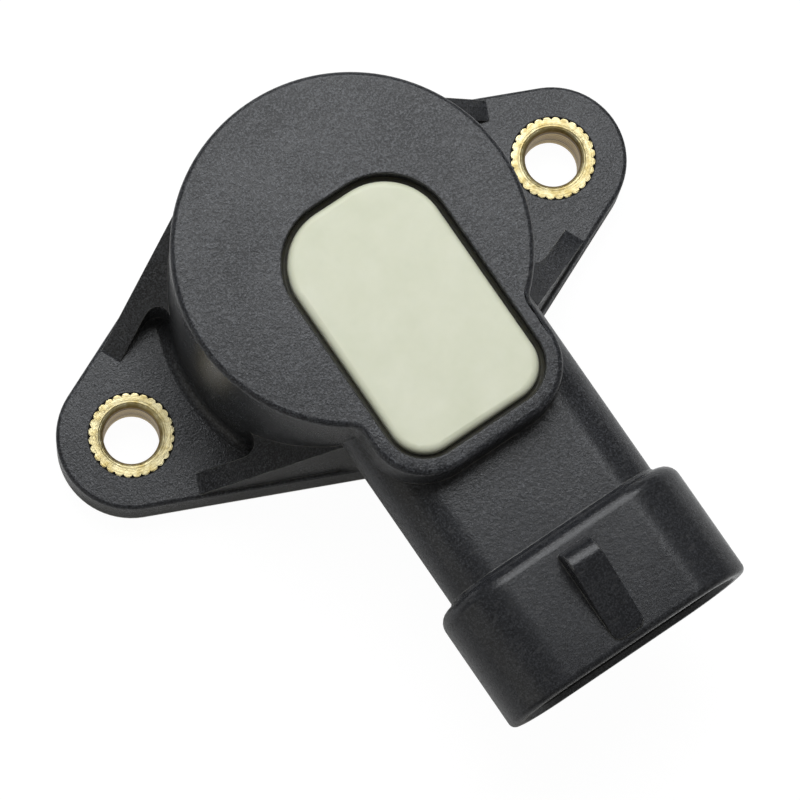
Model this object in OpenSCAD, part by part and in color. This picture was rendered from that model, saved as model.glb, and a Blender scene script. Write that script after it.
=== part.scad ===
// Throttle position sensor: a rotary potentiometer in a moulded housing.
// Millimetres. The origin is on the rotor's axis, in the plane of the mounting face.
// +Z points away from the engine, +X runs along the line of the two fixing holes and
// the plug socket opens towards -Y.

/* [Mounting flange] */
// Distance between the two fixing holes
hole_spacing = 48.4; // [46:0.2:52]
// Thickness of the flange and its ears
flange_t = 4.9; // [4:0.1:6]
// Radius of each ear round its fixing hole
ear_r = 7.1; // [6.6:0.1:8]
// Rounding of the flange's upper edge
flange_edge = 0.4; // [0.2:0.1:0.6]
// Thickness of each gusset
gusset_t = 2.1; // [1.6:0.1:2.6]
// Distance from the hole's centre line to the foot of a gusset, along the flange's edge
gusset_foot = 5.1; // [4.8:0.1:7]
// Slope of the gusset's top edge in degrees
gusset_slope = 42; // [35:1:50]
// How far a gusset's outer face lies inside the flange's edge
gusset_set_in = 0.35; // [0.1:0.05:0.5]
// Radius of the hollow corner between a gusset and the barrel
gusset_fillet = 1.3; // [0.8:0.1:1.6]

/* [Brass bushings] */
// Bore radius, clearance for an M5 screw
bore_r = 2.65; // [2.6:0.05:2.9]
// Radius over the crests of the knurl
knurl_r = 4.05; // [3.9:0.05:4.4]
// Depth of the knurl's teeth
knurl_depth = 0.24; // [0.15:0.01:0.35]
// Number of teeth in the knurl
knurl_teeth = 28; // [20:1:36]
// Radius of the rounded entry to the bore
bore_entry = 0.65; // [0.4:0.05:0.8]
// Chamfer at the bore's lower end
bore_chamfer = 0.3; // [0.2:0.05:0.5]

/* [Barrel] */
// Height of the front face above the mounting face
barrel_h = 25.4; // [24.8:0.1:27]
// Radius of the barrel at the flange
barrel_base_r = 16.85; // [16.6:0.05:17.4]
// Radius of the barrel under its front edge
barrel_top_r = 16.6; // [16.2:0.05:16.6]
// Radius of the hollow corner between the flange and the barrel
barrel_foot = 1.5; // [0.8:0.1:2]
// Rounding of the front edge
front_edge = 0.55; // [0.3:0.05:0.7]
// Radius of the hollow corners where the window rim leaves the barrel
rim_corner = 1.2; // [0.6:0.1:1.6]

/* [Window and cover plate] */
// Width of the cover plate
plate_w = 15.45; // [13:0.05:16]
// Length of the cover plate
plate_l = 24.55; // [23:0.05:25]
// How far the plate's far end lies past the rotor's axis
plate_far_y = 4.65; // [4:0.05:6]
// Corner radius at the far end
plate_far_r = 5.85; // [4:0.05:6.5]
// Corner radius at the plug end
plate_near_r = 3.5; // [3:0.05:5]
// Thickness of the cover plate
plate_t = 2.7; // [2:0.1:3.2]
// Rounding of the plate's upper edge
plate_edge = 0.7; // [0.4:0.05:1]
// How far the plate lies under the front face
plate_recess = 0.3; // [0.2:0.05:0.8]
// Gap between the plate and the pocket's wall
plate_gap = 0.55; // [0.4:0.05:0.6]
// Width of the rim round the pocket
rim_w = 1.6; // [1.3:0.05:2]
// Chamfer along the pocket's edge
pocket_chamfer = 0.1; // [0.05:0.05:0.3]
// Width of the ledge that carries the plate
ledge_w = 1.2; // [1:0.05:1.4]
// Thickness of the sealant bead on the ledge
sealant_t = 0.3; // [0.2:0.05:0.5]

/* [Neck and plug socket] */
// Sideways offset of the window, neck and socket from the rotor's axis
socket_x = 0.95; // [0.6:0.05:1.4]
// Further sideways offset of the neck and socket from the window
socket_shift = 0.3; // [0:0.05:0.4]
// Height of the socket's axis above half the barrel's height
socket_rise = 4.3; // [3.8:0.1:4.5]
// Half width of the neck
neck_half_w = 11.15; // [10.9:0.05:11.6]
// Radius of the neck's sides
neck_r = 4.5; // [4.2:0.1:4.8]
// Step from the neck out to the collar
collar_step = 1.88; // [1.6:0.02:2.1]
// Rear end of the collar
collar_y = -31.55; // [-33:0.05:-31]
// Plug mouth
mouth_y = -43.85; // [-46:0.05:-43]
// Rounding of the collar's rear edge
collar_rear_edge = 1.5; // [0.8:0.1:1.6]
// Rounding of the mouth's outer edge
mouth_edge = 0.6; // [0.3:0.05:0.8]
// Chamfer at the foot of the collar
collar_foot = 0.3; // [0.2:0.05:0.4]
// Wall thickness of the socket
socket_wall = 1.8; // [1.5:0.05:2]
// Depth of the socket
socket_depth = 12.2; // [11.5:0.1:12.6]
// Lead-in chamfer inside the mouth
mouth_lead = 0.5; // [0.3:0.05:0.7]

/* [Latch ramp] */
// Width of the latch ramp
latch_w = 3.3; // [2.8:0.1:4]
// Height of the latch ramp over the collar
latch_h = 2.85; // [2:0.05:3.2]
// Rear end of the ramp behind the collar's rear edge
latch_rear = 2; // [1.8:0.1:2.6]
// Length of the ramp
latch_l = 9.55; // [8.5:0.05:9.6]
// Rounding of the ramp's nose
latch_nose = 1.5; // [1.2:0.05:1.7]
// Rounding of the ramp's corners
latch_corner = 0.3; // [0.2:0.05:0.4]
// Rounding of the corners at the ramp's low end
latch_end_corner = 0.75; // [0.4:0.05:1]

/* [Terminals] */
// Distance between neighbouring blades in the socket
blade_pitch = 5.8; // [5.4:0.1:6]
// Width of a blade
blade_w = 2.3; // [1.5:0.1:2.8]
// Thickness of the terminal strip
strip_t = 0.8; // [0.6:0.05:0.8]
// How far the blade tips stand behind the mouth
blade_set_back = 4.3; // [4.2:0.1:5.5]
// Gap between the terminals and the web under them
terminal_lift = 0.2; // [0.1:0.05:0.3]
// Bevel at a blade's tip
blade_bevel = 0.5; // [0.3:0.05:0.7]
// Distance between neighbouring legs inside the pocket
leg_pitch = 3.6; // [3.2:0.1:3.8]
// Width of a leg
leg_w = 1.6; // [1.2:0.1:2]
// Radius of the eye at the end of a leg
eye_r = 1.35; // [1.2:0.05:1.5]
// Distance of the contact pins from the rotor's axis, towards the plug
pin_y = 8.4; // [8:0.1:8.5]
// Radius of a contact pin
pin_r = 0.6; // [0.5:0.05:0.7]
// Radius of a contact pin's heads
pin_head_r = 1.1; // [0.9:0.05:1.2]
// Thickness of a contact pin's heads
pin_head_t = 0.4; // [0.3:0.05:0.5]

/* [Rotor chamber] */
// Radius of the locating recess in the mounting face
pilot_r = 12.9; // [12.6:0.05:13]
// Depth of the locating recess
pilot_depth = 1.6; // [1.2:0.1:2]
// Radius of the rear cover
cover_r = 12.1; // [11.9:0.05:12.4]
// Thickness of the rear cover
cover_t = 1.8; // [1.6:0.1:2.2]
// Radius of the rotor chamber
chamber_r = 11.2; // [11.1:0.05:11.4]
// Thickness of the web between the chamber and the pocket
web_t = 1.8; // [1.6:0.1:1.8]
// Height of the bearing collar inside the rear cover
bearing_l = 1.8; // [1.4:0.1:2.2]
// Wall of the bearing collar
bearing_wall = 1.35; // [1:0.05:1.6]
// Depth of the relief in the rear cover's outer side
relief_depth = 0.6; // [0.4:0.05:0.8]
// Number of ribs across the relief
relief_ribs = 6; // [4:1:10]
// Radius of the boss over the rotor's upper pivot
boss_r = 4.2; // [3.6:0.1:4.4]
// Height of that boss above the web
boss_h = 2.2; // [2:0.1:2.6]

/* [Face seal] */
// Mean radius of the seal ring
seal_mean_r = 14.9; // [14.8:0.05:15]
// Thickness of the ring as squeezed when fitted
seal_d = 1.34; // [1.2:0.02:1.4]
// Width of the seal's groove
groove_w = 1.8; // [1.6:0.05:1.9]
// Depth of the seal's groove
groove_depth = 1.42; // [1.4:0.02:1.5]

/* [Rotor] */
// Radius of the rotor's hub
hub_r = 5.5; // [5.2:0.1:5.7]
// Height of the hub's lower end above the floor of the locating recess
hub_lift = 0.1; // [0.05:0.05:0.4]
// Radius of the rotor's disc
disc_r = 10.2; // [9.8:0.05:10.25]
// Place of the disc between the rear cover and the chamber's ceiling, as a share of that height
disc_share = 0.52; // [0.5:0.01:0.53]
// Thickness of the disc
disc_t = 1.8; // [1.5:0.1:1.8]
// Radius of the upper shoulder
shoulder_r = 4; // [3.7:0.1:4.1]
// Radius of the upper pivot
pivot_r = 2.5; // [2.2:0.1:2.7]
// Length of the upper pivot
pivot_l = 3.2; // [2.6:0.1:3.4]
// Radius of the round mouth of the drive socket
drive_r = 4.1; // [3.8:0.05:4.3]
// Length of the round mouth
drive_l = 4.2; // [3.6:0.1:4.6]
// Width of the drive slot for the shaft's tang
slot_w = 3.1; // [2.6:0.1:3.6]
// Depth of the drive slot
slot_l = 4.4; // [3.6:0.1:4.8]
// Turn of the rotor from its rest stop to the other stop, in degrees
travel = 95; // [80:1:100]
// Half the angle that the stop lug covers
lug_half = 5; // [4:0.5:7]

/* [Return spring] */
// Mean radius of the coil
coil_r = 8.8; // [8.4:0.1:9.2]
// Wire diameter
wire_d = 0.8; // [0.6:0.05:0.9]
// Number of turns
coil_turns = 3.75; // [2.75:0.25:3.75]

/* [Wiper and tracks] */
// Angle of the wiper at rest
wiper_a = 20; // [15:1:25]
// Thickness of the spring sheet
wiper_t = 0.2; // [0.15:0.01:0.25]
// Width of one finger
finger_w = 0.5; // [0.4:0.05:0.6]
// Thickness of the element board
board_t = 0.8; // [0.6:0.05:0.9]
// Radius of the element board
board_r = 11; // [10.9:0.05:11.05]
// Radius of the hole in the board
board_hole_r = 4.6; // [4.4:0.05:4.8]
// Thickness of the printed tracks
track_t = 0.1; // [0.08:0.01:0.12]
// Mean radius of the collector track
collector_r = 6.8; // [6.6:0.05:6.9]
// Mean radius of the resistance track
resistor_r = 9.2; // [9.1:0.05:9.3]
// Width of each track
track_w = 1.6; // [1.4:0.05:1.7]

/* [Fits] */
// Radial running clearance at the rotor's two bearings
running_gap = 0.06; // [0.03:0.01:0.09]
// Gap round pressed or cast-in round pieces
seat_gap = 0.03; // [0.02:0.01:0.05]
// Gap round the contact pins and the spring's ends
pin_gap = 0.05; // [0.03:0.01:0.1]
// Gap between the wiper's tips and the tracks
contact_gap = 0.05; // [0.03:0.01:0.1]

/* [Hidden] */
$fn = 96;
// Small overlap where one piece of a moulding runs into another
weld = 0.2;
// Steps along a rounded corner of an outline
arc_steps = 14;
// Steps along a rounded edge
edge_steps = 4;

axis_x = socket_x + socket_shift;
plate_top = barrel_h - plate_recess;
plate_z = plate_top - plate_t;
ledge_z = plate_z - sealant_t;
socket_z = barrel_h / 2 + socket_rise;
floor_z = socket_z - strip_t / 2 - terminal_lift;
ceiling_z = floor_z - web_t;
neck_top = socket_z + neck_r;
collar_half_w = neck_half_w + collar_step;
collar_r = neck_r + collar_step;
collar_top = socket_z + collar_r;
cavity_half_w = collar_half_w - socket_wall;
cavity_r = collar_r - socket_wall;
cavity_y = mouth_y + socket_depth;
rim_out = plate_gap + rim_w;
cover_z = pilot_depth;
cover_top = cover_z + cover_t;
hub_z = pilot_depth + hub_lift;
disc_z = cover_top + disc_share * (ceiling_z - cover_top);
disc_top = disc_z + disc_t;
board_z = ceiling_z - board_t;
track_z = board_z - track_t;
tip_z = track_z - contact_gap;
washer_t = 0.5;
washer_z = ceiling_z - washer_t;
shoulder_top = washer_z - contact_gap;
pivot_top = shoulder_top + pivot_l;
pivot_bore_top = pivot_top + 0.4;
boss_top = max(floor_z + boss_h, pivot_bore_top + 1);
blade_y = mouth_y + blade_set_back;
jog_start_y = cavity_y + 1.6;
jog_end_y = jog_start_y + 5;
bearing_r = hub_r + running_gap;
collar_out_r = bearing_r + bearing_wall;
lug_r = chamber_r - 0.25;
stop_r = disc_r + 0.15;
stop_gap_a = 0.6;
lug_a = -60;
stop_a = 8;
finger_a = wiper_a + 13;
finger_run = 3.85;
// Angles by which the tracks run on past the fingers' path
track_lead_a = 10;
track_tail_a = 8;
rivet_a = [wiper_a - 14, wiper_a + 4];
track_from = finger_a + atan(finger_run / resistor_r) - track_lead_a;
track_to = finger_a + travel + atan(finger_run / collector_r) + track_tail_a;
spring_z0 = cover_top + bearing_l / 2;
spring_z1 = disc_z - wire_d / 2 - 0.25;
tangent_a = asin((barrel_base_r - ear_r) / (hole_spacing / 2));
tangent_len = (hole_spacing / 2) * cos(tangent_a);

// Points along an arc
function arc(cx, cy, r, a0, a1, n = arc_steps) =
    [for (i = [0:n]) let (a = a0 + (a1 - a0) * i / n) [cx + r * cos(a), cy + r * sin(a)]];

// Outline of the cover plate grown by d; the pocket, its ledge and its rim follow it
function plate_outline(d) =
    let (x0 = socket_x - plate_w / 2, x1 = socket_x + plate_w / 2,
        y1 = plate_far_y, y0 = plate_far_y - plate_l, rf = plate_far_r, rn = plate_near_r)
    concat(arc(x1 - rf, y1 - rf, rf + d, 0, 90), arc(x0 + rf, y1 - rf, rf + d, 90, 180),
        arc(x0 + rn, y0 + rn, rn + d, 180, 270), arc(x1 - rn, y0 + rn, rn + d, 270, 360));

// Flat-topped section with round sides, as of the neck, the collar and the socket
function round_sided(half_w, r) =
    concat(arc(half_w - r, 0, r, -90, 90, 2 * arc_steps), arc(r - half_w, 0, r, 90, 270, 2 * arc_steps));

// Extrudes a section that is drawn in X and Z, from y0 to y1
module along_y(y0, y1) {
    translate([axis_x, y1, socket_z]) rotate([90, 0, 0]) linear_extrude(y1 - y0) children();
}

// Cylinder with a rounded upper edge, for hulls
module rounded_disc(r, h, edge) {
    rotate_extrude($fn = 72)
        polygon(concat([[0, 0], [r, 0]], arc(r - edge, h - edge, edge, 0, 90, edge_steps), [[0, h]]));
}

// Ring sector between two radii, from angle a0 over the angle a
module sector(r0, r1, h, a0, a) {
    rotate([0, 0, a0]) rotate_extrude(angle = a) translate([r0, 0]) square([r1 - r0, h]);
}

module knurl_outline(grow = 0) {
    pitch = 360 / knurl_teeth;
    crest = knurl_r + grow;
    root = crest - knurl_depth;
    flank = root + 0.65 * knurl_depth;
    polygon([for (i = [0:knurl_teeth - 1],
        s = [[-0.5, root], [-0.36, flank], [-0.17, crest], [0.17, crest], [0.36, flank]])
        s[1] * [cos((i + s[0]) * pitch), sin((i + s[0]) * pitch)]]);
}

module flange() {
    hull() {
        for (side = [-1, 1])
            translate([side * hole_spacing / 2, 0, 0]) rounded_disc(ear_r, flange_t, flange_edge);
        rounded_disc(barrel_base_r + 0.05, flange_t, flange_edge);
    }
}

// Plan of one gusset: along the edge from the barrel's tangent point, and out from the axis.
// It is a straight wall whose narrow corner with the barrel is filled to a hollow radius.
module gusset_plan() {
    inner = barrel_base_r - gusset_set_in - gusset_t;
    f = gusset_fillet;
    reach = barrel_base_r + f - 0.1;
    cy = inner - f;
    cx = sqrt(pow(reach, 2) - pow(cy, 2));
    foot = [cx, cy] * (reach - f) / reach;
    translate([-0.5, inner]) square([tangent_len - gusset_foot + 0.5, gusset_t]);
    polygon(concat([[cx, inner + weld], [0, inner + weld], [0, 0.6 * inner], 0.92 * foot],
        arc(cx, cy, f, 180 + atan2(cy, cx), 90, 8)));
}

// Side view of one gusset, from the barrel's tangent point out to its foot on the ear
module gusset_side() {
    blend = 0.8;
    foot = tangent_len - gusset_foot;
    ramp = foot - blend * tan(gusset_slope / 2);
    rise = (ramp - 0.5) * tan(gusset_slope);
    polygon(concat([[-0.5, 0], [foot, 0]],
        [for (p = arc(foot, flange_t + blend - 0.02, blend, 270, 270 - gusset_slope, 5)) p],
        [[ramp - rise / tan(gusset_slope), flange_t + rise], [-0.5, flange_t + rise]]));
}

// One gusset on the +X, +Y side: a wall on the flange's edge that climbs to the barrel
module gusset() {
    rotate([0, 0, -tangent_a]) intersection() {
        linear_extrude(barrel_h) gusset_plan();
        translate([0, barrel_base_r + 1, 0]) rotate([90, 0, 0]) linear_extrude(barrel_base_r) gusset_side();
    }
}

module gussets() {
    for (turn = [0, 180], flip = [0, 1])
        rotate([0, 0, turn]) mirror([0, flip, 0]) gusset();
}

// Outline of the front face drawn in by d: the barrel's circle, the window's rim and the
// hollow corners between them
function front_outline(d) =
    let (r = barrel_top_r + 0.03,
        x0 = socket_x - plate_w / 2 - rim_out, x1 = socket_x + plate_w / 2 + rim_out,
        rn = plate_near_r + rim_out, y0 = plate_far_y - plate_l - rim_out, c = rim_corner,
        yl = -sqrt(pow(r + c, 2) - pow(c - x0, 2)), yr = -sqrt(pow(r + c, 2) - pow(x1 + c, 2)),
        al = 180 - atan2(yl, c - x0), ar = atan2(yr, x1 + c))
    concat(arc(0, 0, r - d, ar, al, 8 * arc_steps), arc(x0 - c, yl, c + d, 0.75 * (al - 180), 0, 3),
        arc(x0 + rn, y0 + rn, rn - d, 180, 270), arc(x1 - rn, y0 + rn, rn - d, 270, 360),
        arc(x1 + c, yr, c + d, 180, 180 + 0.75 * ar, 3));

// Closed surface through rings of points that all have the same number of points
module skin(rings) {
    last = len(rings) - 1;
    n = len(rings[0]);
    sides = [for (i = [0:last - 1], k = [0:n - 1]) let (a = i * n, m = (k + 1) % n)
        each [[a + n + k, a + m, a + k], [a + n + k, a + n + m, a + m]]];
    polyhedron(points = [for (ring = rings) each ring],
        faces = concat([[for (k = [0:n - 1]) k]], sides, [[for (k = [0:n - 1]) last * n + n - 1 - k]]));
}

// Top of the barrel and rim with the rounded front edge
module crown() {
    skin(concat([[for (p = front_outline(0)) [p[0], p[1], neck_top - weld]]],
        [for (i = [0:edge_steps]) let (a = 90 * i / edge_steps, z = barrel_h - front_edge * (1 - sin(a)))
            [for (p = front_outline(front_edge * (1 - cos(a)))) [p[0], p[1], z]]]));
}

// Hollow corner round the foot of the barrel, on the ears only; it ends inside the gussets
module barrel_fillet() {
    sunk = 0.03;
    far = barrel_base_r + barrel_foot - sunk;
    top = flange_t + barrel_foot - sunk;
    intersection() {
        rotate_extrude() polygon(concat([[barrel_base_r - 1, flange_t - weld], [far, flange_t - weld]],
            arc(far, top, barrel_foot, 270, 180, 6), [[barrel_base_r - 1, top]]));
        cube([4 * barrel_base_r, 2 * ear_r + 4.8, 4 * flange_t], center = true);
    }
}

module barrel() {
    rotate_extrude($fn = 144) polygon([[0, 0], [barrel_base_r, 0], [barrel_base_r, flange_t],
        [barrel_top_r, neck_top], [barrel_top_r, neck_top + weld], [0, neck_top + weld]]);
    translate([0, 0, socket_z]) linear_extrude(neck_top - socket_z) polygon(plate_outline(rim_out - 0.02));
}

// Ring of points round the socket's section drawn out by d over the neck, at y
function socket_ring(d, y) =
    [for (p = round_sided(neck_half_w + d, neck_r + d)) [axis_x + p[0], y, socket_z + p[1]]];

// Collar of the socket with its rounded ends, from its foot on the neck to the mouth
module collar() {
    steps = edge_steps + 2;
    skin(concat([socket_ring(0.02, collar_y + collar_foot), socket_ring(collar_foot, collar_y)],
        [for (i = [0:steps]) let (a = 90 * i / steps)
            socket_ring(collar_step - collar_rear_edge * (1 - sin(a)),
                collar_y - collar_rear_edge * (1 - cos(a)))],
        [for (i = [0:edge_steps]) let (a = 90 - 90 * i / edge_steps)
            socket_ring(collar_step - mouth_edge * (1 - sin(a)), mouth_y + mouth_edge * (1 - cos(a)))]));
}

module latch() {
    rear = collar_y - latch_rear;
    front = rear - latch_l;
    crest_y = rear - latch_nose - 0.35;
    hull() {
        for (side = [-1, 1]) {
            x = axis_x + side * (latch_w / 2 - latch_corner);
            translate([x - 0.5 * latch_corner, crest_y, collar_top + latch_h - latch_nose])
                rotate([0, 90, 0]) cylinder(h = latch_corner, r = latch_nose, $fn = 32);
            translate([x, crest_y, collar_top + latch_h - latch_nose])
                rotate([0, 90, 0])
                    cylinder(h = 2 * latch_corner, r = latch_nose - 0.15, center = true, $fn = 32);
            translate([x, rear - latch_corner, collar_top - 1])
                cylinder(h = 1.6, r = latch_corner, $fn = 16);
            end_x = axis_x + side * (latch_w / 2 - latch_end_corner);
            translate([end_x, front + latch_end_corner, collar_top - 1])
                cylinder(h = 1.2, r = latch_end_corner, $fn = 20);
        }
    }
}

module pocket() {
    translate([0, 0, floor_z]) linear_extrude(barrel_h) polygon(plate_outline(plate_gap - ledge_w));
    translate([0, 0, ledge_z]) linear_extrude(barrel_h) polygon(plate_outline(plate_gap));
    hull() {
        translate([0, 0, barrel_h - pocket_chamfer])
            linear_extrude(0.01) polygon(plate_outline(plate_gap - 0.02));
        translate([0, 0, barrel_h])
            linear_extrude(0.1) polygon(plate_outline(plate_gap + pocket_chamfer));
    }
}

module plug_cavity() {
    along_y(mouth_y - 1, cavity_y) polygon(round_sided(cavity_half_w, cavity_r));
    hull() {
        along_y(mouth_y - 0.05, mouth_y)
            polygon(round_sided(cavity_half_w + mouth_lead, cavity_r + mouth_lead));
        along_y(mouth_y, mouth_y + mouth_lead) polygon(round_sided(cavity_half_w - 0.02, cavity_r - 0.02));
    }
}

// Space for the rotor, with the two stops left standing on its wall
module rotor_chamber() {
    translate([0, 0, -1]) cylinder(h = pilot_depth + 1, r = pilot_r);
    translate([0, 0, pilot_depth - weld]) cylinder(h = cover_t + weld, r = cover_r);
    difference() {
        translate([0, 0, cover_top - weld]) cylinder(h = ceiling_z - cover_top + weld, r = chamber_r);
        for (a = [lug_a - lug_half - stop_gap_a - stop_a, lug_a + travel + lug_half + stop_gap_a])
            translate([0, 0, cover_top])
                sector(stop_r, chamber_r + 1, disc_top + 0.4 - cover_top, a, stop_a);
    }
    translate([0, 0, ceiling_z - weld])
        cylinder(h = pivot_bore_top - ceiling_z + weld, r = pivot_r + running_gap);
}

module seal_groove() {
    translate([0, 0, -1]) difference() {
        cylinder(h = groove_depth + 1, r = seal_mean_r + groove_w / 2);
        translate([0, 0, -1]) cylinder(h = groove_depth + 3, r = seal_mean_r - groove_w / 2);
    }
}

module housing() {
    color([0.13, 0.13, 0.14]) difference() {
        union() {
            flange();
            gussets();
            barrel();
            barrel_fillet();
            crown();
            along_y(collar_y - weld, -plate_far_r) polygon(round_sided(neck_half_w, neck_r));
            collar();
            latch();
        }
        difference() {
            pocket();
            translate([0, 0, floor_z - 1]) cylinder(h = boss_top - floor_z + 1, r = boss_r);
        }
        plug_cavity();
        rotor_chamber();
        seal_groove();
        for (side = [-1, 1])
            translate([side * hole_spacing / 2, 0, -1]) linear_extrude(flange_t + 2) knurl_outline();
        for (i = [-1:1]) {
            terminal(i);
            translate([leg_x(i), -pin_y, ceiling_z - 1])
                cylinder(h = web_t + 2, r = pin_r + pin_gap, $fn = 32);
        }
    }
}

module cover_plate() {
    x0 = socket_x - plate_w / 2;
    x1 = socket_x + plate_w / 2;
    y0 = plate_far_y - plate_l;
    color([0.80, 0.81, 0.74]) translate([0, 0, plate_z]) hull() {
        for (x = [x0 + plate_far_r, x1 - plate_far_r])
            translate([x, plate_far_y - plate_far_r, 0]) rounded_disc(plate_far_r, plate_t, plate_edge);
        for (x = [x0 + plate_near_r, x1 - plate_near_r])
            translate([x, y0 + plate_near_r, 0]) rounded_disc(plate_near_r, plate_t, plate_edge);
    }
}

module cover_sealant() {
    color([0.35, 0.34, 0.31]) translate([0, 0, ledge_z]) linear_extrude(sealant_t) difference() {
        polygon(plate_outline(-seat_gap));
        polygon(plate_outline(plate_gap - ledge_w + seat_gap));
    }
}

module bushing(side) {
    color([0.80, 0.66, 0.36]) translate([side * hole_spacing / 2, 0, 0]) difference() {
        linear_extrude(flange_t) knurl_outline();
        translate([0, 0, -1]) cylinder(h = flange_t + 2, r = bore_r);
        translate([0, 0, -0.01]) cylinder(h = bore_chamfer + 0.01, r1 = bore_r + bore_chamfer, r2 = bore_r);
        rotate_extrude() translate([0, flange_t - bore_entry]) difference() {
            square([bore_r + bore_entry, bore_entry + 1]);
            translate([bore_r + bore_entry, 0]) circle(r = bore_entry);
        }
    }
}

module bushing_left() bushing(-1);
module bushing_right() bushing(1);

function blade_x(i) = axis_x + i * blade_pitch;
function leg_x(i) = axis_x + i * leg_pitch;

// Terminal number i, seen from above: blade, sideways jog, leg and eye
module terminal(i) {
    bx = blade_x(i);
    lx = leg_x(i);
    translate([0, 0, socket_z - strip_t / 2]) linear_extrude(strip_t) {
        polygon([[bx - blade_w / 2 + blade_bevel, blade_y], [bx + blade_w / 2 - blade_bevel, blade_y],
            [bx + blade_w / 2, blade_y + 2 * blade_bevel], [bx + blade_w / 2, jog_start_y],
            [lx + leg_w / 2, jog_end_y], [lx + leg_w / 2, -pin_y],
            [lx - leg_w / 2, -pin_y], [lx - leg_w / 2, jog_end_y],
            [bx - blade_w / 2, jog_start_y], [bx - blade_w / 2, blade_y + 2 * blade_bevel]]);
        translate([lx, -pin_y]) circle(r = eye_r, $fn = 32);
    }
}

module terminal_with_eye(i) {
    color([0.74, 0.72, 0.68]) difference() {
        terminal(i);
        translate([leg_x(i), -pin_y, 0]) cylinder(h = barrel_h, r = pin_r + pin_gap, $fn = 32);
    }
}

module terminal_supply() terminal_with_eye(-1);
module terminal_signal() terminal_with_eye(0);
module terminal_ground() terminal_with_eye(1);

// Riveted pin that joins a terminal's eye to the board's lead underneath
module contact_pin(i) {
    top = socket_z + strip_t / 2;
    color([0.78, 0.76, 0.70]) translate([leg_x(i), -pin_y, 0]) {
        translate([0, 0, track_z - pin_head_t]) cylinder(h = pin_head_t, r = pin_head_r, $fn = 32);
        translate([0, 0, track_z - pin_head_t])
            cylinder(h = top - track_z + 1.5 * pin_head_t, r = pin_r, $fn = 32);
        translate([0, 0, top]) cylinder(h = pin_head_t, r = pin_head_r, $fn = 32);
    }
}

module contact_pin_supply() contact_pin(-1);
module contact_pin_signal() contact_pin(0);
module contact_pin_ground() contact_pin(1);

module element_board() {
    color([0.86, 0.84, 0.76]) difference() {
        translate([0, 0, board_z]) cylinder(h = board_t, r = board_r);
        translate([0, 0, board_z - 1]) cylinder(h = board_t + 2, r = board_hole_r);
        for (i = [-1:1])
            translate([leg_x(i), -pin_y, board_z - 1])
                cylinder(h = board_t + 2, r = pin_r + pin_gap, $fn = 32);
    }
}

module track(r) {
    translate([0, 0, track_z])
        sector(r - track_w / 2, r + track_w / 2, track_t, track_from, track_to - track_from);
}

module resistance_track() {
    color([0.10, 0.10, 0.10]) track(resistor_r);
}

module collector_track() {
    color([0.16, 0.15, 0.15]) track(collector_r);
}

lead_w = 0.8;
pad_r = pin_head_r + 0.15;
function pad_angle(i) = atan2(-pin_y, leg_x(i));
function pad_distance(i) = norm([leg_x(i), pin_y]);

// Silver print round a contact pin; the rest of the lead is given as children
module lead(i) {
    color([0.75, 0.75, 0.76]) translate([0, 0, track_z]) difference() {
        union() {
            rotate([0, 0, pad_angle(i)]) translate([pad_distance(i), 0, 0])
                cylinder(h = track_t, r = pad_r, $fn = 32);
            children();
        }
        translate([leg_x(i), -pin_y, -1]) cylinder(h = track_t + 2, r = pin_r + pin_gap, $fn = 32);
    }
}

// Arc of lead at radius r, from angle a0 over the angle a
module lead_arc(r, a0, a) {
    sector(r - lead_w / 2, r + lead_w / 2, track_t, a0, a);
}

module lead_supply() {
    lead(-1) lead_arc(resistor_r, track_to, 360 + pad_angle(-1) - track_to);
}

module lead_signal() {
    lead(0) {
        lead_arc(collector_r, pad_angle(0), track_from - pad_angle(0));
        rotate([0, 0, pad_angle(0)]) translate([collector_r, -lead_w / 2, 0])
            cube([pad_distance(0) - collector_r, lead_w, track_t]);
    }
}

module lead_ground() {
    lead(1) lead_arc(resistor_r, pad_angle(1), track_from - pad_angle(1));
}

module rotor() {
    lug_from = lug_a - lug_half;
    color([0.88, 0.86, 0.80]) difference() {
        union() {
            translate([0, 0, hub_z]) cylinder(h = disc_top - hub_z, r = hub_r);
            translate([0, 0, disc_z]) cylinder(h = disc_t, r = disc_r);
            translate([0, 0, disc_z]) sector(disc_r - 1, lug_r, disc_t, lug_from, 2 * lug_half);
            translate([0, 0, disc_top - weld]) cylinder(h = shoulder_top - disc_top + weld, r = shoulder_r);
            translate([0, 0, shoulder_top - weld]) cylinder(h = pivot_l + weld, r = pivot_r);
            for (a = rivet_a)
                rotate([0, 0, a]) translate([(collector_r + resistor_r) / 2, 0, disc_top - weld])
                    cylinder(h = 2 * weld + wiper_t, r = 0.5, $fn = 24);
        }
        translate([0, 0, hub_z - 1]) cylinder(h = drive_l + 1, r = drive_r);
        intersection() {
            translate([0, 0, hub_z]) cylinder(h = drive_l + slot_l, r = drive_r - 0.2);
            translate([-slot_w / 2, -drive_r, hub_z]) cube([slot_w, 2 * drive_r, drive_l + slot_l]);
        }
        rotate([0, 0, spring_top_a]) translate([coil_r, 0, disc_z - 1])
            cylinder(h = 2.4, r = wire_d / 2 + pin_gap, $fn = 24);
    }
}

// Side view of a finger: a foot on the disc, the rising arm and the bent tip
module finger_side(rise) {
    polygon([[-0.6, 0], [0.06, 0], [finger_run - 0.5, rise - 0.1], [finger_run, rise + wiper_t],
        [finger_run - 0.35, rise + wiper_t], [finger_run - 0.65, rise], [0, wiper_t], [-0.6, wiper_t]]);
}

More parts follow.
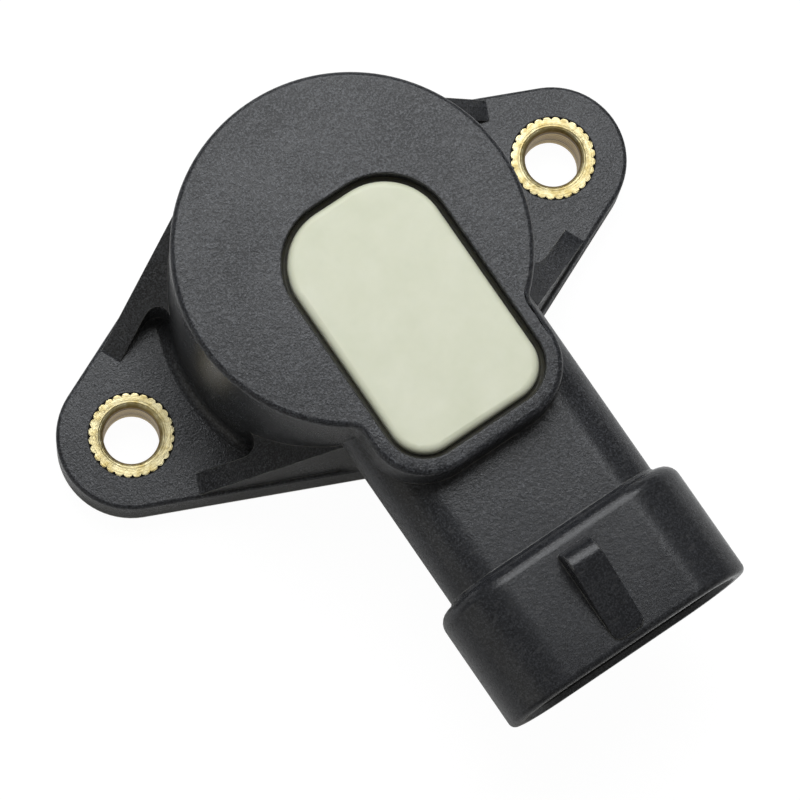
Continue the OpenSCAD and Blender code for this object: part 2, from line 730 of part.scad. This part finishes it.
// Spring sheet on the rotor's disc, with two pairs of fingers that rise to the tracks
module wiper() {
    rise = tip_z - disc_top - wiper_t;
    color([0.82, 0.74, 0.50]) difference() {
        union() {
            translate([0, 0, disc_top]) sector(collector_r - 1, resistor_r + 0.6, wiper_t, wiper_a - 20, 34);
            for (r = [collector_r - 0.35, collector_r + 0.35, resistor_r - 0.4, resistor_r + 0.4])
                rotate([0, 0, finger_a]) translate([r, 0, disc_top]) rotate([90, 0, 90])
                    translate([0, 0, -finger_w / 2]) linear_extrude(finger_w)
                        finger_side(rise);
        }
        for (a = rivet_a)
            rotate([0, 0, a]) translate([(collector_r + resistor_r) / 2, 0, disc_top - 1])
                cylinder(h = 3, r = 0.5 + pin_gap, $fn = 24);
    }
}

spring_bottom_a = 150;
spring_top_a = spring_bottom_a + 360 * coil_turns;
spring_steps = 28;
wire_sides = 8;

// Route of the wire: straight up out of the cover, round the coil and straight up into the disc
function spring_point(a, z) = [coil_r * cos(a), coil_r * sin(a), z];
spring_path = concat(
    [for (z = [cover_top - 0.9, cover_top, cover_top + 0.35]) spring_point(spring_bottom_a, z)],
    [for (i = [1:spring_steps * coil_turns - 1]) let (t = i / (spring_steps * coil_turns))
        spring_point(spring_bottom_a + 360 * coil_turns * t, spring_z0 + (spring_z1 - spring_z0) * t)],
    [for (z = [disc_z - 0.4, disc_z, disc_z + 1.1]) spring_point(spring_top_a, z)]);

function unit(v) = v / norm(v);
// Corners of the wire's section at point i of a path
function ring_at(path, i) =
    let (last = len(path) - 1, p = path[i], t = unit(path[min(i + 1, last)] - path[max(i - 1, 0)]),
        out = unit([p[0], p[1], 0]), side = unit(out - (out * t) * t), up = cross(t, side))
    [for (k = [0:wire_sides - 1]) let (a = 360 * k / wire_sides)
        p + wire_d / 2 * (cos(a) * side + sin(a) * up)];

module swept_wire(path) {
    last = len(path) - 1;
    points = [for (i = [0:last]) each ring_at(path, i)];
    sides = [for (i = [0:last - 1], k = [0:wire_sides - 1]) let (a = i * wire_sides, n = (k + 1) % wire_sides)
        each [[a + k, a + n, a + wire_sides + k], [a + n, a + wire_sides + n, a + wire_sides + k]]];
    start = [[for (k = [0:wire_sides - 1]) wire_sides - 1 - k]];
    end = [[for (k = [0:wire_sides - 1]) last * wire_sides + k]];
    polyhedron(points = points, faces = concat(start, sides, end));
}

module return_spring() {
    color([0.70, 0.70, 0.72]) swept_wire(spring_path);
}

module thrust_washer() {
    color([0.78, 0.78, 0.76]) translate([0, 0, washer_z]) difference() {
        cylinder(h = washer_t, r = shoulder_r - 0.1);
        translate([0, 0, -1]) cylinder(h = washer_t + 2, r = pivot_r + 0.15);
    }
}

module rear_cover() {
    relief_in = collar_out_r + 0.6;
    relief_out = cover_r - 1.2;
    rib_pitch = 360 / relief_ribs;
    color([0.16, 0.16, 0.17]) difference() {
        union() {
            translate([0, 0, cover_z]) cylinder(h = cover_t, r = cover_r - seat_gap);
            translate([0, 0, cover_top - weld]) cylinder(h = bearing_l + weld, r = collar_out_r);
        }
        translate([0, 0, cover_z - 1]) cylinder(h = cover_t + bearing_l + 2, r = bearing_r);
        for (i = [0:relief_ribs - 1])
            translate([0, 0, cover_z - 1])
                sector(relief_in, relief_out, 1 + relief_depth, (i + 0.08) * rib_pitch, 0.84 * rib_pitch);
        rotate([0, 0, spring_bottom_a]) translate([coil_r, 0, cover_top - 1])
            cylinder(h = 2, r = wire_d / 2 + pin_gap, $fn = 24);
    }
}

module face_seal() {
    color([0.10, 0.10, 0.11]) rotate_extrude()
        translate([seal_mean_r, groove_depth - seat_gap - seal_d / 2]) circle(r = seal_d / 2, $fn = 32);
}

housing();
cover_plate();
cover_sealant();
bushing_left();
bushing_right();
terminal_supply();
terminal_signal();
terminal_ground();
contact_pin_supply();
contact_pin_signal();
contact_pin_ground();
element_board();
resistance_track();
collector_track();
lead_supply();
lead_signal();
lead_ground();
rotor();
wiper();
return_spring();
thrust_washer();
rear_cover();
face_seal();
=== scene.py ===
# Throttle position sensor lying on its mounting face on a white table, seen from above.
import math

import bpy
from mathutils import Matrix, Vector


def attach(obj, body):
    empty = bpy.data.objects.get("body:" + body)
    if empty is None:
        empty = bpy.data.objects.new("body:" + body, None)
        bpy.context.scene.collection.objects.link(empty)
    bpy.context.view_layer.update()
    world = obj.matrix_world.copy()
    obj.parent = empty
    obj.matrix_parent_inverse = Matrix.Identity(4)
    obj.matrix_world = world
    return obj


MM = 0.001
WHITE = (1, 1, 1, 1)


# Camera

def make_camera():
    """The photograph's camera: a long lens, 11.5 degrees off the part's axis."""
    right = Vector((0.824609, -0.563502, 0.049860))
    up = Vector((0.545581, 0.815481, 0.193217))
    back = Vector((-0.149538, -0.132126, 0.979888))
    place = Vector((-74.039, -75.603, 481.839)) * MM
    data = bpy.data.cameras.new("camera")
    data.sensor_width = 36
    data.lens = 231.765
    data.clip_start = 0.01
    data.clip_end = 20
    camera = bpy.data.objects.new("camera", data)
    turn = Matrix((right, up, back)).transposed().to_4x4()
    camera.matrix_world = Matrix.Translation(place) @ turn
    bpy.context.scene.collection.objects.link(camera)
    bpy.context.scene.camera = camera


# Colours and shader nodes

def linear(hex_colour):
    """An sRGB hex colour as the linear values that shaders take."""
    values = []
    for start in (1, 3, 5):
        level = int(hex_colour[start:start + 2], 16) / 255
        values.append(level / 12.92 if level <= 0.04045 else ((level + 0.055) / 1.055) ** 2.4)
    return (*values, 1.0)


def add(tree, kind, sockets=None, **settings):
    """Adds a shader node with its settings. A socket takes a value, or a link from the output that
    is given for it, and a node stands for its own first output."""
    node = tree.nodes.new("ShaderNode" + kind)
    for name, value in settings.items():
        setattr(node, name, value)
    for key, value in (sockets or {}).items():
        if isinstance(value, bpy.types.Node):
            value = value.outputs[0]
        if isinstance(value, bpy.types.NodeSocket):
            tree.links.new(value, node.inputs[key])
        else:
            node.inputs[key].default_value = value
    return node


def empty_tree(owner):
    """The node tree of a material or a world, with nothing in it."""
    owner.use_nodes = True
    owner.node_tree.nodes.clear()
    return owner.node_tree


def start_material(name):
    """A new material, its node tree, and the part's own coordinates in millimetres."""
    material = bpy.data.materials.new(name)
    tree = empty_tree(material)
    place = add(tree, "TexCoord").outputs["Object"]
    mm = add(tree, "VectorMath", {0: place, 1: (1 / MM, 1 / MM, 1 / MM)}, operation="MULTIPLY")
    return material, tree, mm


def close_material(tree, finish):
    """Ends a material with its Principled shader, whose sockets take the finish."""
    shader = add(tree, "BsdfPrincipled", finish)
    add(tree, "OutputMaterial", {"Surface": shader})


def tinted(tree, tone, colour, pattern, start, full, share=1.0, within=None):
    """Lays a colour over a tone: none where the pattern is at start, the given share where it is
    at full, and less wherever within is under 1."""
    cover = add(tree, "MapRange", {"Value": pattern, "From Min": start, "From Max": full,
                                   "To Min": 0, "To Max": share})
    if within:
        cover = add(tree, "Math", {0: cover, 1: within}, operation="MULTIPLY")
    return add(tree, "Mix", {0: cover, 6: tone, 7: colour}, data_type="RGBA").outputs[2]


def from_axis(tree, mm, x_mm):
    """Distance in millimetres from the upright axis through x_mm."""
    parts = add(tree, "SeparateXYZ", {0: mm})
    across = add(tree, "Math", {0: parts.outputs["X"], 1: x_mm}, operation="SUBTRACT")
    level = add(tree, "CombineXYZ", {"X": across, "Y": parts.outputs["Y"]})
    return add(tree, "VectorMath", {0: level}, operation="LENGTH").outputs["Value"]


def rounded_relief(tree, height, strength, depth_mm, rounding_mm):
    """A surface with bumps, whose edges are rounded over in the shading."""
    soft = add(tree, "Bevel", {"Radius": rounding_mm * MM}, samples=6)
    return add(tree, "Bump", {"Height": height, "Strength": strength, "Distance": depth_mm * MM,
                              "Normal": soft})


def corner_turn(tree, width_mm):
    """1 on a flat, and less within this width of a corner."""
    rounded = add(tree, "Bevel", {"Radius": width_mm * MM}, samples=6)
    face = add(tree, "NewGeometry").outputs["Normal"]
    return add(tree, "VectorMath", {0: rounded, 1: face}, operation="DOT_PRODUCT").outputs["Value"]


# Finishes of the pieces

def moulded_nylon(name, dark, light, rough, hole_x):
    """Glass-filled nylon from a spark-eroded tool: near-black and soft-matt, with a fine grain that
    fades where the tool was polished towards the plug, pale specks of fibre, pale corners that
    are a painted edge highlight with some rubbed wear, and a thin ring of painted shade round
    the knurl of each bushing, where nylon meets brass."""
    material, tree, mm = start_material(name)
    # The eroded grain is about 0.05 mm and the fibres 0.3 mm long, too fine to show, so the grain
    # is drawn at 0.17 and 0.45 mm and the specks at 0.9 mm.
    grain = add(tree, "TexNoise", {"Vector": mm, "Scale": 1 / 0.17, "Detail": 2, "Roughness": 0.6})
    coarse = add(tree, "TexNoise", {"Vector": mm, "Scale": 1 / 0.45, "Detail": 2, "Roughness": 0.5})
    flow = add(tree, "VectorMath", {0: mm, 1: (1.0, 2.6, 1.4)}, operation="MULTIPLY")
    fibre = add(tree, "TexNoise", {"Vector": flow, "Scale": 1 / 0.9, "Detail": 2, "Roughness": 0.5})
    # Cloudy patches of 6 mm come from the flow in the tool; patches of 1.4 mm break up the pale
    #     corners, which are a painted edge highlight with some rubbed wear.
    cloud = add(tree, "TexNoise", {"Vector": mm, "Scale": 1 / 6.0, "Detail": 3, "Roughness": 0.55})
    highlight_and_rub_patches = add(tree, "TexNoise", {"Vector": mm, "Scale": 1 / 1.4, "Detail": 3, "Roughness": 0.6})
    along = add(tree, "SeparateXYZ", {0: mm}).outputs["Y"]
    collar_from, barrel_from = -32, -22
    matt = add(tree, "MapRange", {"Value": along, "From Min": collar_from, "From Max": barrel_from,
                                  "To Min": 0.45, "To Max": 1})
    highlight_and_rub = add(tree, "MapRange", {"Value": highlight_and_rub_patches, "From Min": 0.35, "From Max": 0.6,
                                    "To Min": 0.1, "To Max": 0.9})
    tone = tinted(tree, linear(dark), linear(light), cloud, 0.35, 0.65)
    tone = tinted(tree, tone, linear("#0C0C0E"), grain, 0.5, 0.3, 0.85)
    tone = tinted(tree, tone, linear("#525458"), grain, 0.5, 0.72, 0.9, within=matt)
    tone = tinted(tree, tone, linear("#4B4B4C"), fibre, 0.56, 0.8, 0.5)
    # Pale corners: a painted edge highlight, broken up in patches like rubbed wear.
    tone = tinted(tree, tone, linear("#85857E"), corner_turn(tree, 0.13), 0.96, 0.88, within=highlight_and_rub)
    fine = add(tree, "MapRange", {"Value": grain, "From Min": 0.3, "From Max": 0.7,
                                  "To Min": 0.05, "To Max": -0.05})
    broad = add(tree, "MapRange", {"Value": cloud, "From Min": 0.3, "From Max": 0.7,
                                   "To Min": rough + 0.03, "To Max": rough - 0.03})
    polish = add(tree, "MapRange", {"Value": along, "From Min": collar_from, "From Max": barrel_from,
                                    "To Min": -0.05, "To Max": 0})
    gloss = add(tree, "Math", {0: fine, 1: broad}, operation="ADD")
    gloss = add(tree, "Math", {0: gloss, 1: polish}, operation="ADD")
    # A thin ring of painted shade in the nylon round each knurl, where nylon meets brass; the nylon
    # is rougher there too.
    knurl_tip_mm, shade_end_mm = 4.06, 4.2
    for side in (-1, 1):
        painted_knurl_shade = add(tree, "MapRange", {"Value": from_axis(tree, mm, side * hole_x),
                                      "From Min": knurl_tip_mm, "From Max": shade_end_mm,
                                      "To Min": 1, "To Max": 0})
        tone = add(tree, "Mix", {0: painted_knurl_shade, 6: tone, 7: linear("#12100B")}, data_type="RGBA").outputs[2]
        gloss = add(tree, "Math", {0: gloss, 1: painted_knurl_shade}, operation="MAXIMUM")
    height = add(tree, "Math", {0: grain, 1: coarse}, operation="ADD")
    height = add(tree, "Math", {0: height, 1: matt}, operation="MULTIPLY")
    close_material(tree, {"Base Color": tone, "Roughness": gloss, "IOR": 1.53,
                          "Specular IOR Level": 0.26,
                          "Normal": rounded_relief(tree, height, 0.36, 0.06, 0.14)})
    return material


def moulded_cover():
    """Cream PBT, moulded: satin and a little soft in depth, faintly mottled by the flow."""
    material, tree, mm = start_material("cream_PBT_moulded")
    cloud = add(tree, "TexNoise", {"Vector": mm, "Scale": 1 / 4.0, "Detail": 3, "Roughness": 0.55})
    grain = add(tree, "TexNoise", {"Vector": mm, "Scale": 1 / 0.5, "Detail": 2, "Roughness": 0.5})
    gloss = add(tree, "MapRange", {"Value": cloud, "From Min": 0.3, "From Max": 0.7,
                                   "To Min": 0.5, "To Max": 0.58})
    close_material(tree, {
        "Base Color": tinted(tree, linear("#D2D5BD"), linear("#DBDDC8"), cloud, 0.3, 0.7),
        "Roughness": gloss,
        "IOR": 1.55,
        "Subsurface Weight": 0.08,
        "Subsurface Radius": (1.0, 0.9, 0.6),
        "Subsurface Scale": 0.8 * MM,
        "Normal": add(tree, "Bump", {"Height": grain, "Strength": 0.12, "Distance": 0.04 * MM}),
    })
    return material


def squeezed_silicone():
    """Olive-black silicone, squeezed out and wiped: dull, with dust of about 0.6 mm in it."""
    material, tree, mm = start_material("olive_black_silicone")
    dust = add(tree, "TexNoise", {"Vector": mm, "Scale": 1 / 0.6, "Detail": 3, "Roughness": 0.6})
    gloss = add(tree, "MapRange", {"Value": dust, "From Min": 0.3, "From Max": 0.7,
                                   "To Min": 0.55, "To Max": 0.75})
    close_material(tree, {
        "Base Color": tinted(tree, linear("#25241A"), linear("#3B3927"), dust, 0.4, 0.75),
        "Roughness": gloss,
        "Normal": add(tree, "Bump", {"Height": dust, "Strength": 0.4, "Distance": 0.08 * MM}),
    })
    return material


def turned_brass(name, centre_x):
    """Brass, turned and knurled: cream-yellow, with rings left by the tool and tarnished in blotches;
    the bore wall takes a darker tone, which is painted shade, crossed by darker rings for the
    drill's turns."""
    material, tree, mm = start_material(name)
    radius = from_axis(tree, mm, centre_x)
    height = add(tree, "SeparateXYZ", {0: mm}).outputs["Z"]
    round_about = add(tree, "CombineXYZ", {"X": radius, "Y": 0.0, "Z": height})
    down_bore = add(tree, "VectorMath", {0: round_about, 1: (0, 0, 1)}, operation="MULTIPLY")
    # The tool's feed is about 0.05 mm a turn, too fine to show, and is drawn at 0.14 mm on the
    # face and 0.5 mm in the bore.
    ring = add(tree, "TexNoise", {"Vector": round_about, "Scale": 1 / 0.14, "Detail": 2,
                                  "Roughness": 0.5})
    turns = add(tree, "TexNoise", {"Vector": down_bore, "Scale": 1 / 0.5, "Detail": 1,
                                   "Roughness": 0.5})
    blotch = add(tree, "TexNoise", {"Vector": mm, "Scale": 1 / 0.9, "Detail": 3, "Roughness": 0.55})
    tone = tinted(tree, linear("#D9CFA6"), linear("#B5A36D"), blotch, 0.38, 0.66)
    tone = tinted(tree, tone, linear("#968250"), ring, 0.5, 0.64, 0.6)
    # The bore wall's darker tone is painted shade; the darker rings in it stand for the drill's
    # turns.
    bore = tinted(tree, linear("#B39C68"), linear("#5E4C2D"), turns, 0.42, 0.58)
    bore_edge_mm, bore_wall_mm = 2.9, 2.72
    tone = tinted(tree, tone, bore, radius, bore_edge_mm, bore_wall_mm)
    gloss = add(tree, "MapRange", {"Value": ring, "From Min": 0.3, "From Max": 0.7,
                                   "To Min": 0.36, "To Max": 0.56})
    marks = add(tree, "Math", {0: ring, 1: blotch}, operation="ADD")
    close_material(tree, {"Base Color": tone, "Metallic": 1.0, "Roughness": gloss,
                          "Normal": rounded_relief(tree, marks, 0.9, 0.08, 0.1)})
    return material


def inner_plastic(name, colour, rough, grain_mm=0.3, strength=0.15):
    """The moulded, printed and fired pieces inside the housing: one colour with a fine grain."""
    material, tree, mm = start_material(name)
    grain = add(tree, "TexNoise", {"Vector": mm, "Scale": 1 / grain_mm, "Detail": 2,
                                   "Roughness": 0.5})
    close_material(tree, {
        "Base Color": tinted(tree, linear(colour), linear("#F0EEE6"), grain, 0.35, 0.75, 0.25),
        "Roughness": rough,
        "Normal": add(tree, "Bump", {"Height": grain, "Strength": strength, "Distance": 0.04 * MM}),
    })
    return material


def inner_metal(name, light, dark, rough, spacing_mm, stretch=(1, 1, 1)):
    """The worked metal inside the housing: marks of the rolls or the die at the given spacing,
    and a little tarnish in patches of 1.6 mm."""
    material, tree, mm = start_material(name)
    drawn_out = add(tree, "VectorMath", {0: mm, 1: stretch}, operation="MULTIPLY")
    mark = add(tree, "TexNoise", {"Vector": drawn_out, "Scale": 1 / spacing_mm, "Detail": 3,
                                  "Roughness": 0.6})
    tarnish = add(tree, "TexNoise", {"Vector": mm, "Scale": 1 / 1.6, "Detail": 3, "Roughness": 0.6})
    gloss = add(tree, "MapRange", {"Value": mark, "From Min": 0.3, "From Max": 0.7,
                                   "To Min": rough - 0.06, "To Max": rough + 0.08})
    close_material(tree, {
        "Base Color": tinted(tree, linear(light), linear(dark), tarnish, 0.45, 0.8, 0.6),
        "Metallic": 1.0,
        "Roughness": gloss,
        "Normal": add(tree, "Bump", {"Height": mark, "Strength": 0.3, "Distance": 0.03 * MM}),
    })
    return material


def nitrile(name):
    """Nitrile rubber, moulded: soft black with a dusty sheen in patches of 1.2 mm."""
    material, tree, mm = start_material(name)
    dust = add(tree, "TexNoise", {"Vector": mm, "Scale": 1 / 1.2, "Detail": 3, "Roughness": 0.6})
    tone = tinted(tree, linear("#161617"), linear("#2C2B2A"), dust, 0.45, 0.8, 0.5)
    close_material(tree, {"Base Color": tone, "Roughness": 0.6, "Sheen Weight": 0.08})
    return material


# Table and light

def white_laminate(hole_x):
    """Seen by the camera, the table is plain white with a trace of the part's shadow, also in the
    bores of the bushings, which stand on it. In reflections it glows faintly, and brightly round
    the bores: a painted reflection that lights the bore walls. It is clear from below, so that the
    mounting face shows there, and open under the socket of the throttle shaft."""
    camera_share, painted_bore_reflection, open_share = 0.92, 0.75, 0.03
    bore_r, bore_outside, socket_r, touching = 2.6 * MM, 3.0 * MM, 14 * MM, 0.3 * MM
    material = bpy.data.materials.new("white_laminate")
    tree = empty_tree(material)
    ray = add(tree, "LightPath")
    place = add(tree, "NewGeometry")
    spot = place.outputs["Position"]
    left, right = (
        add(tree, "VectorMath", {0: spot, 1: (x, 0, 0)}, operation="DISTANCE").outputs["Value"]
        for x in (-hole_x, hole_x))
    to_bore = add(tree, "Math", {0: left, 1: right}, operation="MINIMUM")
    # Round the bores the table glows brightly in reflections: a painted reflection that lights the
    # bore walls.
    share = add(tree, "MapRange", {"Value": to_bore, "From Min": bore_r, "From Max": bore_outside,
                                   "To Min": painted_bore_reflection, "To Max": open_share})
    mirrored = add(tree, "Math", {0: ray.outputs["Is Glossy Ray"], 1: share}, operation="MULTIPLY")
    seen = add(tree, "Math", {0: ray.outputs["Is Camera Ray"], 1: camera_share}, operation="MULTIPLY")
    white = add(tree, "Math", {0: seen, 1: mirrored}, operation="MAXIMUM")
    lit = add(tree, "BsdfDiffuse", {"Color": linear("#F0F0F0")})
    glow = add(tree, "Emission", {"Color": WHITE, "Strength": 1.055})
    top = add(tree, "MixShader", {0: white, 1: lit, 2: glow})
    against = add(tree, "Math", {0: ray.outputs["Ray Length"], 1: touching}, operation="LESS_THAN")
    from_middle = add(tree, "VectorMath", {0: spot}, operation="LENGTH").outputs["Value"]
    opening = add(tree, "Math", {0: from_middle, 1: socket_r}, operation="LESS_THAN")
    under = add(tree, "Math", {0: against, 1: opening}, operation="MAXIMUM")
    through = add(tree, "Math", {0: place.outputs["Backfacing"], 1: under}, operation="MAXIMUM")
    clear = add(tree, "BsdfTransparent")
    both = add(tree, "MixShader", {0: through, 1: top, 2: clear})
    add(tree, "OutputMaterial", {"Surface": both})
    return material


def make_table(hole_x):
    """A wide table, a hair under the mounting face so that the two don't flicker."""
    half, drop = 3.0, -0.02 * MM
    corners = [(-half, -half, drop), (half, -half, drop), (half, half, drop), (-half, half, drop)]
    mesh = bpy.data.meshes.new("table")
    mesh.from_pydata(corners, [], [(0, 1, 2, 3)])
    mesh.materials.append(white_laminate(hole_x))
    table = bpy.data.objects.new("table", mesh)
    bpy.context.scene.collection.objects.link(table)


def make_lamp(name, place, size, power, colour):
    """A square soft box at place in metres, aimed at the part."""
    data = bpy.data.lights.new(name, "AREA")
    data.shape = "SQUARE"
    data.size = size
    data.energy = power
    data.color = linear(colour)[:3]
    lamp = bpy.data.objects.new(name, data)
    lamp.location = place
    lamp.rotation_mode = "QUATERNION"
    lamp.rotation_quaternion = Vector(place).to_track_quat("Z", "Y")
    bpy.context.scene.collection.objects.link(lamp)


def make_light():
    """A soft box over the part, one beyond it, a card at its left, and an even, dim room that the
    camera sees as white."""
    make_lamp("overhead_box", (0.094, 0.156, 0.356), 0.27, 1.33, "#FBFDFF")
    make_lamp("far_box", (0.10, 0.76, 0.50), 0.16, 0.6, "#FFFFFF")
    make_lamp("left_card", (-0.62, -0.02, 0.24), 0.45, 0.34, "#FFFCF2")
    room_level, extra_below = 0.2, 0.8
    world = bpy.data.worlds.new("studio")
    bpy.context.scene.world = world
    tree = empty_tree(world)
    up = add(tree, "SeparateXYZ", {0: add(tree, "TexCoord").outputs["Generated"]}).outputs["Z"]
    below = add(tree, "Math", {0: up, 1: 0.0}, operation="LESS_THAN")
    level = add(tree, "Math", {0: below, 1: extra_below, 2: room_level}, operation="MULTIPLY_ADD")
    room = add(tree, "Background", {"Color": linear("#FFFDF7"), "Strength": level})
    white = add(tree, "Background", {"Color": WHITE, "Strength": 1.0})
    seen = add(tree, "LightPath").outputs["Is Camera Ray"]
    both = add(tree, "MixShader", {0: seen, 1: room, 2: white})
    add(tree, "OutputWorld", {"Surface": both})


# The part

def smooth_shading():
    """A small modifier network: shades smooth, and keeps edges over 32 degrees crisp."""
    crisp_from = 0.56
    group = bpy.data.node_groups.new("smooth_by_angle", "GeometryNodeTree")
    group.interface.new_socket("Geometry", in_out="INPUT", socket_type="NodeSocketGeometry")
    group.interface.new_socket("Geometry", in_out="OUTPUT", socket_type="NodeSocketGeometry")
    nodes, links = group.nodes, group.links
    start, end = nodes.new("NodeGroupInput"), nodes.new("NodeGroupOutput")
    angle = nodes.new("GeometryNodeInputMeshEdgeAngle")
    flat = nodes.new("FunctionNodeCompare")
    flat.operation = "LESS_THAN"
    flat.inputs[1].default_value = crisp_from
    links.new(angle.outputs["Unsigned Angle"], flat.inputs[0])
    faces = nodes.new("GeometryNodeSetShadeSmooth")
    edges = nodes.new("GeometryNodeSetShadeSmooth")
    edges.domain = "EDGE"
    links.new(start.outputs[0], faces.inputs["Geometry"])
    links.new(faces.outputs[0], edges.inputs["Geometry"])
    links.new(flat.outputs[0], edges.inputs["Shade Smooth"])
    links.new(edges.outputs[0], end.inputs[0])
    return group


def middle(piece):
    """Centre of a piece's box."""
    corners = [piece.matrix_world @ Vector(corner) for corner in piece.bound_box]
    return sum(corners, Vector()) / len(corners)


def finishes(hole_x):
    """The finish of each piece of the frame."""
    tin = inner_metal("tinned_bronze_strip", "#CFCBC2", "#A8A49A", 0.28, 0.12, (4, 0.3, 1))
    carbon = inner_plastic("printed_carbon_film", "#151516", 0.35, 0.2, 0.05)
    silver = inner_metal("printed_silver", "#C9C9C7", "#9E9D98", 0.4, 0.1)
    looks = {
        "housing": moulded_nylon("black_glass_filled_nylon", "#222326", "#2B2C2F", 0.3, hole_x),
        "rear_cover": moulded_nylon("black_nylon_rear_cover", "#2A2B2E", "#323336", 0.42, hole_x),
        "cover_plate": moulded_cover(),
        "cover_sealant": inner_plastic("cured_silicone", "#4A4943", 0.5),
        "bushing_left": turned_brass("knurled_brass_left", -hole_x),
        "bushing_right": turned_brass("knurled_brass_right", hole_x),
        "element_board": inner_plastic("fired_alumina", "#D8D3C2", 0.55),
        "resistance_track": carbon,
        "collector_track": carbon,
        "rotor": inner_plastic("natural_acetal_moulded", "#D6D2C4", 0.38),
        "wiper": inner_metal("rolled_phosphor_bronze", "#D0A070", "#A9764A", 0.3, 0.1, (0.4, 3, 1)),
        "return_spring": inner_metal("drawn_spring_wire", "#A5A6A8", "#77787A", 0.3, 0.1),
        "thrust_washer": inner_metal("pressed_steel_washer", "#A9A9A8", "#7C7B78", 0.32, 0.1),
        "face_seal": nitrile("nitrile_ring"),
    }
    for end in ("supply", "signal", "ground"):
        looks["terminal_" + end] = tin
        looks["contact_pin_" + end] = tin
        looks["lead_" + end] = silver
    return looks


def dress(nodes):
    """Gives each piece of the frame its finish and its shading: smooth round the curves, even on
    the flats, crisp at the corners."""
    looks = finishes(middle(nodes["bushing_right"]).x / MM)
    group = smooth_shading()
    for name, piece in nodes.items():
        piece.data.materials.clear()
        piece.data.materials.append(looks[name])
        if "custom_normal" in piece.data.attributes:
            piece.data.attributes.remove(piece.data.attributes["custom_normal"])
        weld = piece.modifiers.new("weld", "WELD")
        weld.merge_threshold = 0.0005 * MM
        smooth = piece.modifiers.new("smooth", "NODES")
        smooth.node_group = group
        flats = piece.modifiers.new("flats", "WEIGHTED_NORMAL")
        flats.keep_sharp = True


def gap_bead(plate, gap_mm):
    """Silicone pressed up into the gap round the cover plate, with a hollow top."""
    wall_top, clear = 24.4, 0.01
    ring = {}
    for vertex in plate.data.vertices:
        x, y, z = (plate.matrix_world @ vertex.co) / MM
        if abs(z - wall_top) < 0.01:
            ring[(round(x, 3), round(y, 3))] = Vector((x, y))
    centre = sum(ring.values(), Vector((0, 0))) / len(ring)
    ring = sorted(ring.values(), key=lambda point: math.atan2(point.y - centre.y, point.x - centre.x))
    # Each corner of the section: how far out from the plate's wall, and how far up from its top.
    section = [(clear, -0.2), (0.12, -0.3), (0.5 * gap_mm, -0.35), (gap_mm - 0.12, -0.28),
               (gap_mm - clear, -0.15), (gap_mm - clear, -0.9), (clear, -0.9)]
    points, faces = [], []
    count, sides = len(ring), len(section)
    for i, point in enumerate(ring):
        after = (i + 1) % count
        along = ring[after] - ring[i - 1]
        outward = Vector((along.y, -along.x)).normalized()
        for out, up in section:
            spot = point + outward * out
            points.append((spot.x * MM, spot.y * MM, (wall_top + up) * MM))
        for j in range(sides):
            beside = (j + 1) % sides
            faces.append((i * sides + j, i * sides + beside, after * sides + beside,
                          after * sides + j))
    mesh = bpy.data.meshes.new("plate_gap_bead")
    mesh.from_pydata(points, [], faces)
    for face in mesh.polygons:
        face.use_smooth = True
    mesh.materials.append(squeezed_silicone())
    bead = bpy.data.objects.new("plate_gap_bead", mesh)
    bpy.context.scene.collection.objects.link(bead)
    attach(bead, "housing")


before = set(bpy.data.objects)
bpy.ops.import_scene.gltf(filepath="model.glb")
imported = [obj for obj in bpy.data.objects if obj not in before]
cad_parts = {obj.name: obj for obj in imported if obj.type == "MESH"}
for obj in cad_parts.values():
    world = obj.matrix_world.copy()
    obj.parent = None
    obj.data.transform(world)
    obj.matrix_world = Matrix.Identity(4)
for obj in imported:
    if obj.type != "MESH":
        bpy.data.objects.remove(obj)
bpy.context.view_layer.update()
bpy.context.scene.view_settings.view_transform = "Standard"
make_camera()
make_table(middle(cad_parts["bushing_right"]).x)
make_light()
dress(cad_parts)
gap_bead(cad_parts["cover_plate"], 0.55)
